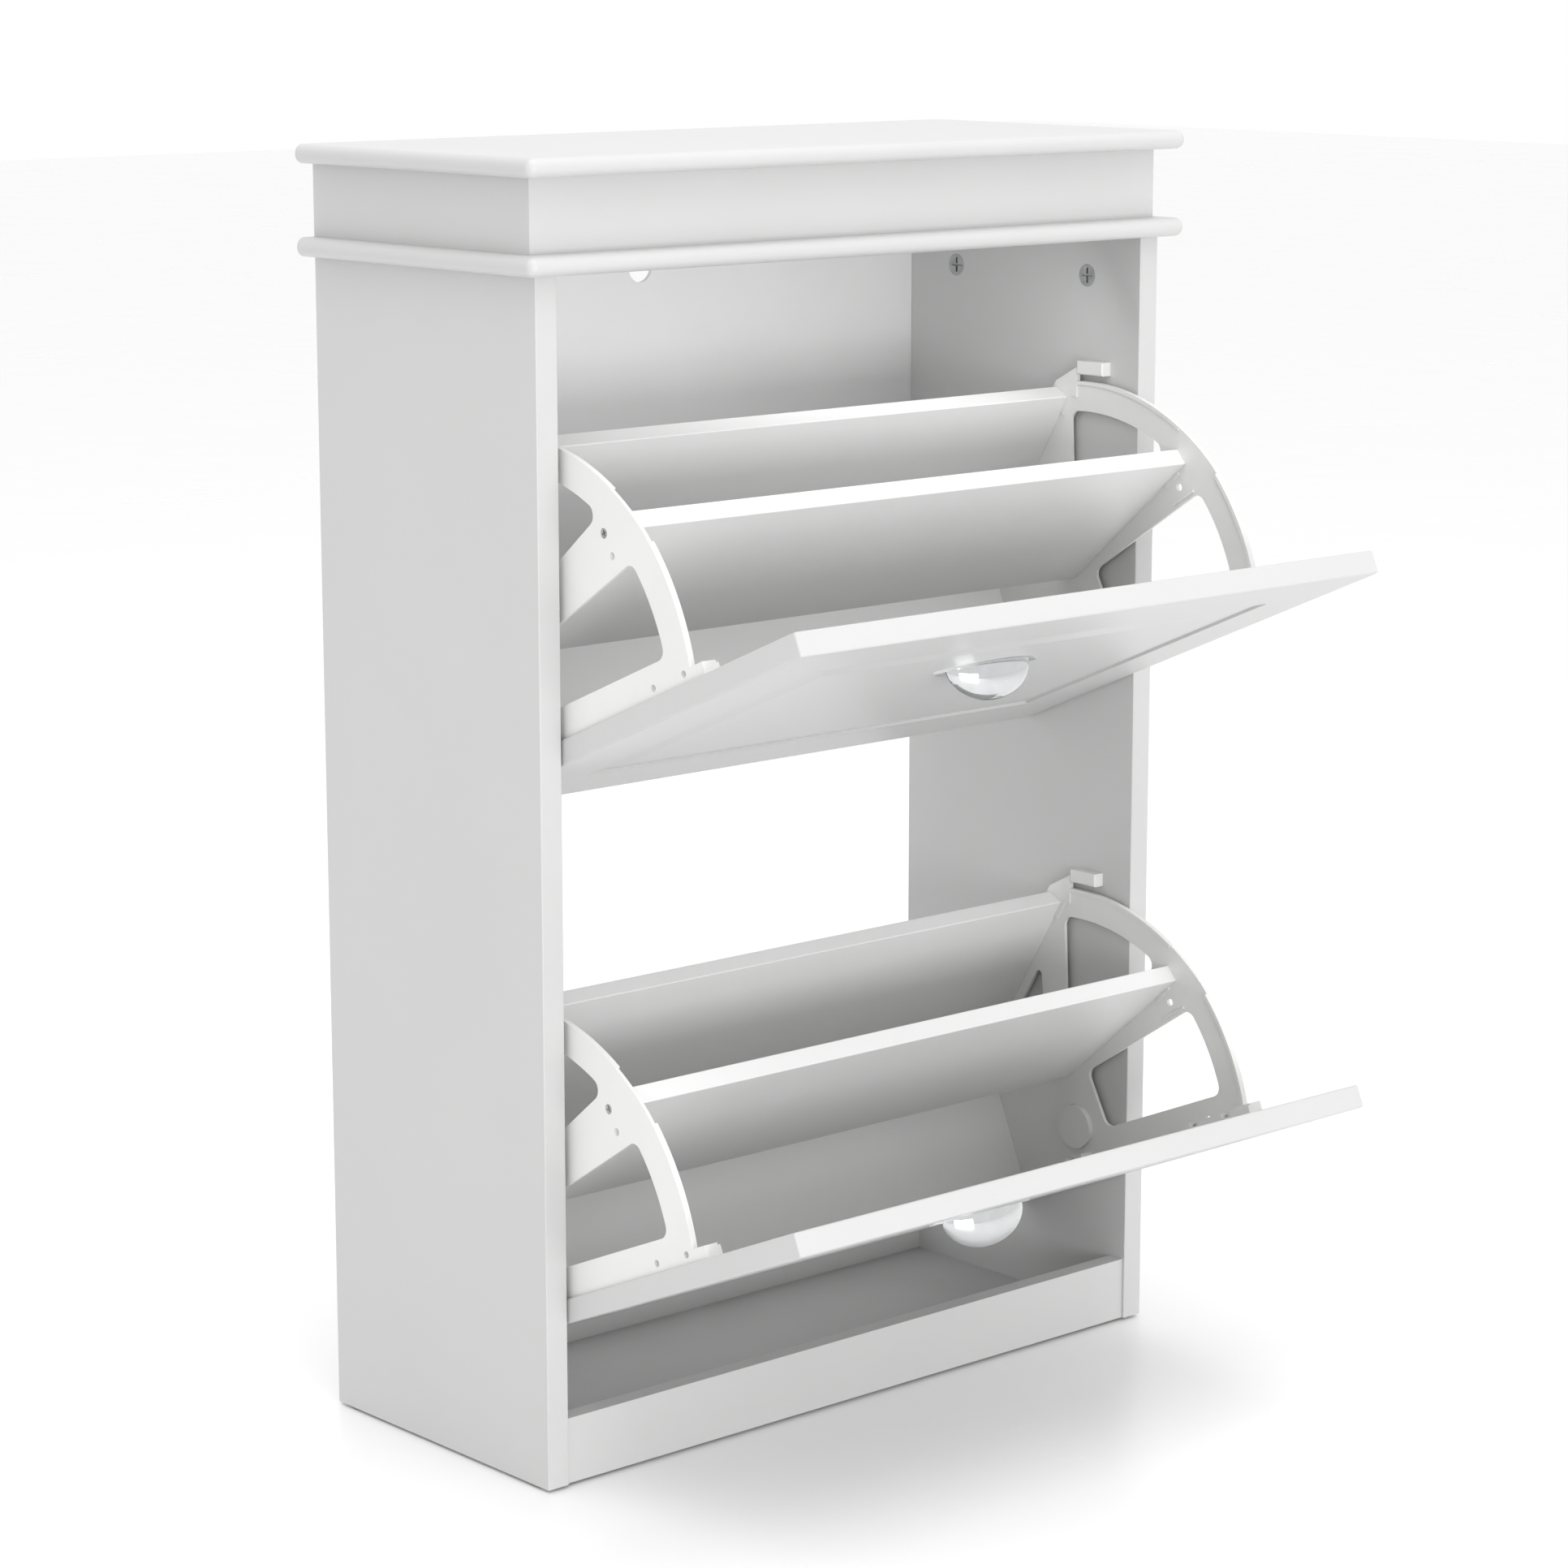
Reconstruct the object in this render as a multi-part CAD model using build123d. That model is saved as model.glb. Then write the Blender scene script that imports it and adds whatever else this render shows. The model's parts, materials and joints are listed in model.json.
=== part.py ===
from build123d import *
from math import cos, radians, sin
import os

# A slim shoe cabinet with two tilting flaps, shown with both flaps open.
# Millimetres. Z is up, X runs across the width, Y runs from front to back.
# The origin is on the floor, at mid-width, in the plane of the side panels' front edges.

os.makedirs("parts", exist_ok=True)

# ---------------------------------------------------------------- driving dimensions
WIDTH = 522.0                 # across the outer faces of the two side panels
DEPTH = 220.0                 # side panels, front edge to rear edge
PANEL_T = 16.0                # side panels
BOARD_T = 12.0                # every other structural board
HARDBOARD_T = 3.0             # upper back panel and bottom panel
GLIDE_H = 2.0                 # plastic glides under the side panels
WAIST_Z = 745.0               # top of the side panels, underside of the waist board
FRIEZE_H = 45.0               # open height of the shallow box under the top board
FRIEZE_SETBACK = 5.0          # frieze front behind the side panels' front edges
OVERHANG = 13.0               # waist and top boards past the sides and the front
BULLNOSE_R = 5.6              # rounding of those boards' visible edges
EDGE_R = 0.7                  # rounding of laminated board edges

PLINTH_SETBACK = 2.0
PLINTH_TOP = 44.0
RAIL_TOP = 46.0
RAIL_BACK = 218.0
BACK_PANEL_HALF = 256.0
BACK_PANEL_BOTTOM = 500.0
STRAP_HOLE_R = 10.0           # hole for the wall strap, in the upper back panel
STRAP_HOLE_Z = 725.0

# ---------------------------------------------------------------- the two flaps
PIVOT_Y = 41.0
PIVOT_Z = {"lower": 132.0, "upper": 480.0}
OPEN_DEG = 66.6               # how far a flap tilts out of the closed pose
PIN_R = 5.0
PIN_CLEARANCE = 0.05

DOOR_HALF = 243.5
DOOR_T = 15.0
DOOR_FRONT = -40.5            # closed, measured from the pivot
DOOR_BACK = DOOR_FRONT + DOOR_T
DOOR_BOTTOM = -81.5
DOOR_TOP = 259.5
BORDER_HALF = 189.5           # raised panel on the door's outer face, inside a routed border
BORDER_BOTTOM = -22.5
BORDER_TOP = 210.0
BORDER_STEP = 1.8             # depth of the step at the border's outer line
BORDER_SLOPE = 19.0           # width over which the panel rises back to the door's face

HANDLE_Z = 146.0              # closed, above the pivot
HANDLE_HALF = 44.0            # lens-shaped flange, tip to middle
HANDLE_RISE = 16.5            # lens-shaped flange, half of its height
CUP_HALF = 34.0
CUP_OUT = 22.0
CUP_UP = 15.0
CUP_WALL = 1.6
FLANGE_T = 1.2
HANDLE_SCREW_X = 36.0

PLATE_OUT = 241.2             # outer face of a flap's side frame
PLATE_IN = 238.8              # inner face of its flat plate
RIB_IN = 237.7                # inner face of its low ribs
FRONT_RIM_IN = 237.0          # inner face of the higher rim near the door
PLATE_R = 166.4               # outer arc of the frame about the pivot
REAR_RIM_R = 167.0
FRONT_ARC_R = 163.4           # the arc near the door, about a point behind the pivot
FRONT_ARC_Y = 8.0
RIM_T = 2.5
WINDOW_R = 147.0              # arc of the rear window in the frame
FRONT_WINDOW_R = 142.6        # arc of the front window, about the same point as its rim
HUB_R = 15.0
HUB_OUT = 243.8
HUB_IN = 235.0

BOARD_HALF = 238.7            # flap boards fit between the two side frames
REAR_TOP = (150.0, 45.5)      # rear board: top of its front face, from the pivot
REAR_DIR = (-0.588, -0.809)   # and the way that it runs down
REAR_LENGTH = 146.0
DIVIDER_TOP = (74.2, 131.0)
DIVIDER_DIR = (-0.301, -0.954)
DIVIDER_LENGTH = 132.5
FLAP_FLOOR_Z = -80.0          # underside of the flap's bottom board

STOP_FRONT = -15.0            # stop blocks, from the pivot
STOP_BACK = 9.0
STOP_LOW = 171.5
STOP_HIGH = 180.5
STOP_OUT = 8.0                # how far they stand off the side panel
STOP_GAP = 0.3
STOP_PEG_R = 2.5
STOP_PEG_LENGTH = 8.0
STOP_PEG_Y = (-9.0, 3.0)

# ---------------------------------------------------------------- worked-out levels
OUTER = WIDTH / 2
INNER = OUTER - PANEL_T
FRIEZE_Z = WAIST_Z + BOARD_T
TOP_Z = FRIEZE_Z + FRIEZE_H
RAIL_FRONT = RAIL_BACK - BOARD_T
FRIEZE_MID = OUTER - BOARD_T / 2
PANEL_MID = OUTER - PANEL_T / 2


# ---------------------------------------------------------------- small helpers
FROM_START = (Align.CENTER, Align.CENTER, Align.MIN)


def block(x0, x1, y0, y1, z0, z1):
    """A rectangular block between two opposite corners."""
    middle = Pos((x0 + x1) / 2, (y0 + y1) / 2, (z0 + z1) / 2)
    return middle * Box(abs(x1 - x0), abs(y1 - y0), abs(z1 - z0))


def rod(start, direction, radius, length):
    """A round bar from a point along a direction."""
    place = Plane(origin=start, z_dir=direction)
    return place * Cylinder(radius, length, align=FROM_START)


def cone(start, direction, start_r, end_r, length):
    """A round taper from a point along a direction."""
    place = Plane(origin=start, z_dir=direction)
    return place * Cone(start_r, end_r, length, align=FROM_START)


def outline(*points):
    """A flat closed outline; its two axes become Y and Z in slab()."""
    return make_face(Polyline(*points, close=True))


def slab(sketch, x0, x1):
    """A piece with its outline in the Y-Z plane, reaching from x0 to x1."""
    return extrude(Plane.YZ.offset(x0) * sketch, x1 - x0, dir=(1, 0, 0))


def polar(radius, angle):
    return (radius * cos(radians(angle)), radius * sin(radians(angle)))


def ring_part(r_in, r_out, angle_from, angle_to, centre_y=0.0):
    """Part of a flat ring, between two angles about the pivot measured up from the rear."""
    far = 3 * r_out
    wedge = outline((0, 0), polar(far, angle_from), polar(far, angle_to))
    return Pos(centre_y, 0) * (Circle(r_out) - Circle(r_in)) & wedge


def along(point, direction, run, across=0.0):
    """A point run mm along a direction, then across mm to the direction's left."""
    return (
        point[0] + direction[0] * run - direction[1] * across,
        point[1] + direction[1] * run + direction[0] * across,
    )


def closed_from_open(y, z):
    """Closed-pose place of a point given in the open pose, both from the pivot."""
    c = cos(radians(OPEN_DEG))
    s = sin(radians(OPEN_DEG))
    return (c * y + s * z, -s * y + c * z)


def both_sides(part):
    return [part, mirror(part, about=Plane.YZ)]


def solids_of(*parts):
    """Every separate solid of some parts, in one list."""
    return [solid for part in parts for solid in part.solids()]


def save(name, *parts):
    pieces = solids_of(*parts)
    shape = pieces[0] if len(pieces) == 1 else Compound(children=pieces)
    export_step(shape, f"parts/{name}.step")


def screw(head_at, direction, shank_r, length, head_r, head_h):
    """A pan-head screw: the shank runs along direction, the head stands the other way."""
    back = tuple(-d for d in direction)
    head = rod(head_at, back, head_r, head_h)
    head = fillet(head.edges().sort_by(Axis(head_at, back))[-1], head_h * 0.6)
    place = Plane(origin=head_at, z_dir=back).offset(head_h)
    cross = place * Box(head_r * 1.2, 0.8, head_h) + place * Box(0.8, head_r * 1.2, head_h)
    return head + rod(head_at, direction, shank_r, length) - cross


SUNK_DEPTH = 0.6              # top of a sunk screw head below the face
SUNK_HEAD_R = 3.15
SUNK_HEAD_H = 1.2
SUNK_SHANK_R = 1.75
FIT = 0.05                    # all-round clearance of pins and screws in their holes


def sunk_screw(face_at, length):
    """A countersunk screw driven in the -X direction, its head just below the face."""
    x, y, z = face_at
    head = cone((x - SUNK_DEPTH, y, z), (-1, 0, 0), SUNK_HEAD_R, SUNK_SHANK_R, SUNK_HEAD_H)
    shank = rod((x - SUNK_DEPTH, y, z), (-1, 0, 0), SUNK_SHANK_R, length)
    cross = block(x - SUNK_DEPTH - 1.0, x, y - 2.0, y + 2.0, z - 0.45, z + 0.45)
    cross += block(x - SUNK_DEPTH - 1.0, x, y - 0.45, y + 0.45, z - 2.0, z + 2.0)
    return head + shank - cross


def sunk_screw_seat(face_at):
    """The stepped hole in a frame that a sunk screw sits in."""
    x, y, z = face_at
    seat_r = SUNK_HEAD_R + FIT
    shank_r = SUNK_SHANK_R + FIT
    seat = rod((x + 1, y, z), (-1, 0, 0), seat_r, 1 + SUNK_DEPTH)
    seat += cone((x - SUNK_DEPTH, y, z), (-1, 0, 0), seat_r, shank_r, SUNK_HEAD_H)
    return seat + rod((x, y, z), (-1, 0, 0), shank_r, 6.0)


# ---------------------------------------------------------------- fastening places
CAM_Y = (49.0, 175.0)
CAM_Z = 717.0
CAM_R = 7.5
CAM_DEPTH = 12.0
BOLT_R = 3.0
DOWEL_R = 4.0
RAIL_DOWEL_Z = (14.0, 33.0)
RAIL_DOWEL_Y = (PLINTH_SETBACK + BOARD_T / 2, RAIL_FRONT + BOARD_T / 2)
SMALL_DOWEL_R = 3.0
FRIEZE_DOWELS = (
    (-150.0, FRIEZE_SETBACK + BOARD_T / 2),
    (150.0, FRIEZE_SETBACK + BOARD_T / 2),
    (-150.0, DEPTH - BOARD_T / 2),
    (150.0, DEPTH - BOARD_T / 2),
    (-FRIEZE_MID, 70.0),
    (-FRIEZE_MID, 160.0),
    (FRIEZE_MID, 70.0),
    (FRIEZE_MID, 160.0),
)
SOCKET_R = 7.0
SOCKET_DEPTH = 11.5
COLLAR_R = 10.0
COLLAR_T = 0.8
NAIL_R = 0.8
NAIL_HEAD_R = 2.0
NAIL_HEAD_T = 0.6
PANEL_NAIL_Z = (520.0, 590.0, 660.0, 728.0)
WAIST_NAIL_X = (-170.0, -60.0, 60.0, 170.0)
FLOOR_NAIL_X = (-180.0, -60.0, 60.0, 180.0)
GLIDE_Y = (16.0, 204.0)
GLIDE_R = 7.0


def frieze_dowels():
    """Upright dowels that tie the frieze box to the waist board and to the top board."""
    reach = 8.0
    length = 2.5 * reach
    dowels = []
    for x, y in FRIEZE_DOWELS:
        dowels.append(rod((x, y, FRIEZE_Z - reach), (0, 0, 1), SMALL_DOWEL_R, length))
        dowels.append(rod((x, y, TOP_Z + reach), (0, 0, -1), SMALL_DOWEL_R, length))
    return dowels


def rail_dowels():
    """Level dowels that tie the plinth and the rear rail to the right side panel."""
    reach = 11.0
    places = [(y, z) for y in RAIL_DOWEL_Y for z in RAIL_DOWEL_Z]
    return [rod((INNER + reach, y, z), (-1, 0, 0), DOWEL_R, 2.8 * reach) for y, z in places]


def cam_locks():
    """Right-hand cam discs, each with a cross slot in its face and a seat for its bolt."""
    locks = []
    for y in CAM_Y:
        disc = rod((INNER + 0.2, y, CAM_Z), (1, 0, 0), CAM_R - 0.1, CAM_DEPTH)
        slot = block(INNER, INNER + 2.5, y - 5.0, y + 5.0, CAM_Z - 0.8, CAM_Z + 0.8)
        slot += block(INNER, INNER + 2.5, y - 0.8, y + 0.8, CAM_Z - 5.0, CAM_Z + 5.0)
        seat = rod((PANEL_MID, y, CAM_Z), (0, 0, 1), BOLT_R + 0.4, CAM_R + 1)
        locks.append(disc - slot - seat)
    return locks


def cam_bolts():
    """Right-hand bolts that stand in the waist board and end in the cam discs."""
    bolts = []
    for y in CAM_Y:
        shank = rod((PANEL_MID, y, CAM_Z + 3.0), (0, 0, 1), BOLT_R - 0.5, WAIST_Z + 9.0 - CAM_Z - 3.0)
        head = rod((PANEL_MID, y, CAM_Z + 1.0), (0, 0, 1), BOLT_R, 3.0)
        bolts.append(head + shank + rod((PANEL_MID, y, WAIST_Z - 2.0), (0, 0, 1), BOLT_R, 2.0))
    return bolts


def back_nail_places():
    """Where nails pass through the upper back panel, as (x, z)."""
    rows = [(side * PANEL_MID, z) for side in (-1, 1) for z in PANEL_NAIL_Z]
    shifted = [(x - 2.0 if x > 0 else x + 2.0, z) for x, z in rows]
    return shifted + [(x, WAIST_Z + BOARD_T / 2) for x in WAIST_NAIL_X]


# ---------------------------------------------------------------- carcass
def side_panel():
    """Right side panel, bored for its cams, dowels, flap sockets and stop pegs."""
    board = block(INNER, OUTER, 0, DEPTH, GLIDE_H, WAIST_Z)
    upright = board.edges().filter_by(Axis.Z)
    board = fillet(upright, EDGE_R)
    for y in CAM_Y:
        board -= rod((INNER - 1, y, CAM_Z), (1, 0, 0), CAM_R, CAM_DEPTH + 1.5)
        board -= rod((PANEL_MID, y, CAM_Z), (0, 0, 1), BOLT_R + 0.4, WAIST_Z - CAM_Z + 1)
    for pivot_z in PIVOT_Z.values():
        board -= rod((INNER - 1, PIVOT_Y, pivot_z), (1, 0, 0), SOCKET_R + 0.05, SOCKET_DEPTH + 1.1)
        board -= rod((INNER - 1, PIVOT_Y, pivot_z), (1, 0, 0), COLLAR_R + 0.1, 1.4)
        for peg in stop_pegs(pivot_z, FIT):
            board -= peg
    for y in RAIL_DOWEL_Y:
        for z in RAIL_DOWEL_Z:
            board -= rod((INNER - 1, y, z), (1, 0, 0), DOWEL_R + 0.05, 12.5)
    for x, z in back_nail_places():
        if x > INNER:
            board -= rod((x, DEPTH + 1, z), (0, -1, 0), NAIL_R + 0.05, 17.0)
    return board


def edged_board(z0):
    """Waist or top board: rounded along the front and both sides, square at the rear."""
    board = block(-OUTER - OVERHANG, OUTER + OVERHANG, -OVERHANG, DEPTH, z0, z0 + BOARD_T)
    corners = board.edges().filter_by(Axis.Z).sort_by(Axis.Y)[:2]
    board = fillet(corners, BULLNOSE_R)
    rear = board.faces().sort_by(Axis.Y)[-1]
    level = [e for e in board.edges() if abs(e.center().Z - z0 - BOARD_T / 2) > 1]
    rounded = [e for e in level if abs(e.center().Y - rear.center().Y) > 1]
    return fillet(rounded, BULLNOSE_R)


def waist_board():
    board = edged_board(WAIST_Z)
    for side in (-1, 1):
        for y in CAM_Y:
            board -= rod((side * PANEL_MID, y, WAIST_Z - 1), (0, 0, 1), BOLT_R - 0.45, 10.5)
    for x in WAIST_NAIL_X:
        board -= rod((x, DEPTH + 1, WAIST_Z + BOARD_T / 2), (0, -1, 0), NAIL_R + 0.05, 17.0)
    for x, y in FRIEZE_DOWELS:
        board -= rod((x, y, FRIEZE_Z + 1), (0, 0, -1), SMALL_DOWEL_R + 0.05, 9.5)
    return board


def top_board():
    board = edged_board(TOP_Z)
    for x, y in FRIEZE_DOWELS:
        board -= rod((x, y, TOP_Z - 1), (0, 0, 1), SMALL_DOWEL_R + 0.05, 9.5)
    return board


def drilled_for_frieze_dowels(board):
    for x, y in FRIEZE_DOWELS:
        board -= rod((x, y, FRIEZE_Z - 1), (0, 0, 1), SMALL_DOWEL_R + 0.05, 13.5)
        board -= rod((x, y, TOP_Z + 1), (0, 0, -1), SMALL_DOWEL_R + 0.05, 13.5)
    return board


def frieze_front():
    """Front strip of the frieze, mitred at both ends."""
    y0 = FRIEZE_SETBACK
    y1 = y0 + BOARD_T
    inner = OUTER - BOARD_T
    plan = outline((-OUTER, y0), (OUTER, y0), (inner, y1), (-inner, y1))
    strip = extrude(Pos(0, 0, FRIEZE_Z) * plan, FRIEZE_H, dir=(0, 0, 1))
    return drilled_for_frieze_dowels(strip)


def frieze_side():
    """Right strip of the frieze, mitred at its front end."""
    y0 = FRIEZE_SETBACK
    inner = OUTER - BOARD_T
    plan = outline((OUTER, y0), (OUTER, DEPTH), (inner, DEPTH), (inner, y0 + BOARD_T))
    strip = extrude(Pos(0, 0, FRIEZE_Z) * plan, FRIEZE_H, dir=(0, 0, 1))
    return drilled_for_frieze_dowels(strip)


def frieze_rear():
    inner = OUTER - BOARD_T
    strip = block(-inner, inner, DEPTH - BOARD_T, DEPTH, FRIEZE_Z, TOP_Z)
    return drilled_for_frieze_dowels(strip)


def upper_back_panel():
    """Thin panel nailed on the rear edges, with a hole for the wall strap."""
    half = BACK_PANEL_HALF
    back = DEPTH + HARDBOARD_T
    panel = block(-half, half, DEPTH, back, BACK_PANEL_BOTTOM, FRIEZE_Z)
    panel -= rod((0, DEPTH - 1, STRAP_HOLE_Z), (0, 1, 0), STRAP_HOLE_R, HARDBOARD_T + 2)
    for x, z in back_nail_places():
        panel -= rod((x, DEPTH - 1, z), (0, 1, 0), NAIL_R + 0.05, HARDBOARD_T + 2)
        panel -= rod((x, back + 1, z), (0, -1, 0), NAIL_HEAD_R + 0.05, NAIL_HEAD_T + 1.05)
    return panel


def back_panel_nails():
    nails = []
    for x, z in back_nail_places():
        shank = rod((x, DEPTH + HARDBOARD_T, z), (0, -1, 0), NAIL_R, 18.0)
        nails.append(shank + rod((x, DEPTH + HARDBOARD_T, z), (0, -1, 0), NAIL_HEAD_R, NAIL_HEAD_T))
    return nails


RABBET = BOARD_T / 2
FLOOR_NAIL_Y = (PLINTH_SETBACK + BOARD_T - RABBET / 2, RAIL_FRONT + RABBET / 2)


def drilled_for_floor_nails(board):
    for x in FLOOR_NAIL_X:
        for y in FLOOR_NAIL_Y:
            board -= rod((x, y, GLIDE_H - 1), (0, 0, 1), NAIL_R + 0.05, 15.0)
    return board


def level_rail(y0, top, rabbet_y0):
    """A low rail between the side panels, rabbeted underneath for the bottom panel."""
    rail = block(-INNER, INNER, y0, y0 + BOARD_T, GLIDE_H, top)
    rail -= block(-OUTER, OUTER, rabbet_y0, rabbet_y0 + RABBET, 0, GLIDE_H + HARDBOARD_T)
    for dowel in rail_dowels():
        place = dowel.center()
        for side in (-1, 1):
            rail -= rod((side * (INNER + 1), place.Y, place.Z), (-side, 0, 0), DOWEL_R + 0.05, 21.5)
    return drilled_for_floor_nails(rail)


def plinth():
    return level_rail(PLINTH_SETBACK, PLINTH_TOP, PLINTH_SETBACK + BOARD_T - RABBET)


def rear_rail():
    return level_rail(RAIL_FRONT, RAIL_TOP, RAIL_FRONT)


def bottom_panel():
    """Thin floor of the cabinet, nailed up into the rabbets of the plinth and the rail."""
    y0 = PLINTH_SETBACK + BOARD_T - RABBET
    y1 = RAIL_FRONT + RABBET
    panel = block(-INNER, INNER, y0, y1, GLIDE_H, GLIDE_H + HARDBOARD_T)
    for x in FLOOR_NAIL_X:
        for y in FLOOR_NAIL_Y:
            panel -= rod((x, y, GLIDE_H - 1), (0, 0, 1), NAIL_HEAD_R + 0.05, NAIL_HEAD_T + 1.05)
    return drilled_for_floor_nails(panel)


def bottom_panel_nails():
    nails = []
    for x in FLOOR_NAIL_X:
        for y in FLOOR_NAIL_Y:
            shank = rod((x, y, GLIDE_H), (0, 0, 1), NAIL_R, 13.0)
            nails.append(shank + rod((x, y, GLIDE_H), (0, 0, 1), NAIL_HEAD_R, NAIL_HEAD_T))
    return nails


def floor_glides():
    """Thin plastic discs under the ends of the right side panel."""
    glides = []
    for y in GLIDE_Y:
        disc = rod((PANEL_MID, y, 0), (0, 0, 1), GLIDE_R, GLIDE_H)
        glides.append(chamfer(disc.edges().sort_by(Axis.Z)[0], 0.5))
    return glides


def stop_pegs(pivot_z, extra_r=0.0):
    """Two pegs on the back of a right-hand stop block, or the holes that they fill."""
    z = pivot_z + (STOP_LOW + STOP_HIGH) / 2
    length = STOP_PEG_LENGTH + 6 * extra_r
    return [rod((INNER, PIVOT_Y + y, z), (1, 0, 0), STOP_PEG_R + extra_r, length) for y in STOP_PEG_Y]


def stop_block(pivot_z):
    """Right-hand stop block that limits the flap's travel, with two pegs on its back."""
    y0 = PIVOT_Y + STOP_FRONT
    y1 = PIVOT_Y + STOP_BACK
    body = block(INNER - STOP_OUT, INNER, y0, y1, pivot_z + STOP_LOW, pivot_z + STOP_HIGH)
    inner_face = body.faces().sort_by(Axis.X)[0]
    body = chamfer(inner_face.edges(), 0.8)
    for peg in stop_pegs(pivot_z):
        body += peg
    return body


def pivot_socket(pivot_z):
    """Right-hand plastic bush, set in the side panel, that the flap's pin turns in."""
    bush = rod((INNER - COLLAR_T, PIVOT_Y, pivot_z), (1, 0, 0), COLLAR_R, COLLAR_T + 0.3)
    bush += rod((INNER, PIVOT_Y, pivot_z), (1, 0, 0), SOCKET_R, SOCKET_DEPTH)
    return bush - rod((INNER - 2, PIVOT_Y, pivot_z), (1, 0, 0), PIN_R + PIN_CLEARANCE, SOCKET_DEPTH + 0.5)


# ---------------------------------------------------------------- one flap, closed, about its pivot
def door():
    panel = block(-DOOR_HALF, DOOR_HALF, DOOR_FRONT, DOOR_BACK, DOOR_BOTTOM, DOOR_TOP)
    panel = fillet(panel.edges(), 1.2)
    middle = (BORDER_BOTTOM + BORDER_TOP) / 2
    width = 2 * BORDER_HALF
    height = BORDER_TOP - BORDER_BOTTOM
    face = Plane(origin=(0, DOOR_FRONT, middle), x_dir=(1, 0, 0), z_dir=(0, -1, 0))
    low = face.offset(-BORDER_STEP)
    panel -= extrude(face * Rectangle(width, height), BORDER_STEP, dir=(0, 1, 0))
    foot = low * Rectangle(width - 1.0, height - 1.0)
    crown = face * Rectangle(width - 2 * BORDER_SLOPE, height - 2 * BORDER_SLOPE)
    panel += loft([foot, crown], ruled=True)
    for side in (-1, 1):
        x = side * HANDLE_SCREW_X
        panel -= rod((x, DOOR_FRONT - 1, HANDLE_Z), (0, 1, 0), 3.5, 6.2)
        panel -= rod((x, DOOR_FRONT - 1, HANDLE_Z), (0, 1, 0), 2.1, DOOR_T + 2)
    for place in door_screw_places():
        panel -= rod((place[0], DOOR_BACK + 1, place[1]), (0, -1, 0), 1.8, 12.5)
    for hole in door_dowel_holes():
        panel -= hole
    return panel


def handle():
    """Cup pull: a lens-shaped flange with a half-dome hood that is open underneath."""
    arc_r = (HANDLE_HALF**2 + HANDLE_RISE**2) / (2 * HANDLE_RISE)
    lens = Pos(0, arc_r - HANDLE_RISE) * Circle(arc_r) & Pos(0, HANDLE_RISE - arc_r) * Circle(arc_r)
    y = DOOR_FRONT
    face = Plane(origin=(0, y, HANDLE_Z), x_dir=(1, 0, 0), z_dir=(0, -1, 0))
    flange = extrude(face * lens, FLANGE_T, dir=(0, -1, 0))
    place = Pos(0, y, HANDLE_Z)
    outer = place * scale(Sphere(1), by=(CUP_HALF, CUP_OUT, CUP_UP))
    hollow = (CUP_HALF - CUP_WALL, CUP_OUT - CUP_WALL, CUP_UP - CUP_WALL)
    inner = place * scale(Sphere(1), by=hollow)
    high = HANDLE_Z + CUP_UP + 1
    upper_half = block(-CUP_HALF, CUP_HALF, y - CUP_OUT - 1, y - FLANGE_T / 2, HANDLE_Z, high)
    hood = (outer - inner) & upper_half
    pull = flange + hood
    for side in (-1, 1):
        x = side * HANDLE_SCREW_X
        pull += rod((x, y - 0.5, HANDLE_Z), (0, 1, 0), 3.4, 5.5)
        pull -= rod((x, y + 6, HANDLE_Z), (0, -1, 0), 1.95, 5.8)
    return pull


def handle_screws():
    return [
        screw((side * HANDLE_SCREW_X, DOOR_BACK, HANDLE_Z), (0, -1, 0), 1.9, 14.0, 3.8, 2.0)
        for side in (-1, 1)
    ]


def open_face_point(height):
    """A point on the hook's stop face, given by its height above the pivot when open."""
    return closed_from_open(STOP_BACK + STOP_GAP, height)


def frame_plate():
    """Flat outline of a flap's side frame: a quadrant with two windows and a triangle."""
    to_floor = (FLAP_FLOOR_Z - REAR_TOP[1]) / REAR_DIR[1]
    rear_low = along(REAR_TOP, REAR_DIR, to_floor - 11.0, 15.0)
    rear_high = along(REAR_TOP, REAR_DIR, 0.0, 15.0)
    field = outline(
        (DOOR_BACK, FLAP_FLOOR_Z),
        (rear_low[0], FLAP_FLOOR_Z),
        rear_high,
        (rear_high[0] + 2, 70),
        (190, 190),
        (DOOR_BACK, 190),
    )
    front_centre = Pos(FRONT_ARC_Y, 0)
    plate = field & Circle(PLATE_R) & front_centre * Circle(FRONT_ARC_R)
    plate += ring_part(PLATE_R - 8, REAR_RIM_R, 20.0, 54.0)
    front_window = outline((-7, 27.5), (34, 24), (64.4, 200), (-7, 200))
    front_window &= front_centre * Circle(FRONT_WINDOW_R)
    rear_window = outline((57, 12.5), (189, 62.5), (189, 200), (111.5, 200)) & Circle(WINDOW_R)
    triangle = outline((115.7, 9.6), (64, -7.4), (70.5, -53))
    plate -= fillet(front_window.vertices(), 7.0)
    plate -= fillet(rear_window.vertices(), 7.0)
    plate -= fillet(triangle.vertices(), 3.0)
    return plate - Pos(61.7, 119.6) * Circle(2.5)


def hook_outline():
    """Hook at the frame's rear end; its face is STOP_GAP short of the stop block when the flap is open."""
    return outline(
        open_face_point(156.0),
        open_face_point(176.2),
        along(REAR_TOP, REAR_DIR, -4.0, 14.0),
        along(REAR_TOP, REAR_DIR, 8.0, 14.9),
        along(REAR_TOP, REAR_DIR, 8.0, 12.1),
        along(REAR_TOP, REAR_DIR, -0.1, 12.1),
        along(REAR_TOP, REAR_DIR, -0.1, 2.0),
    )


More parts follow.
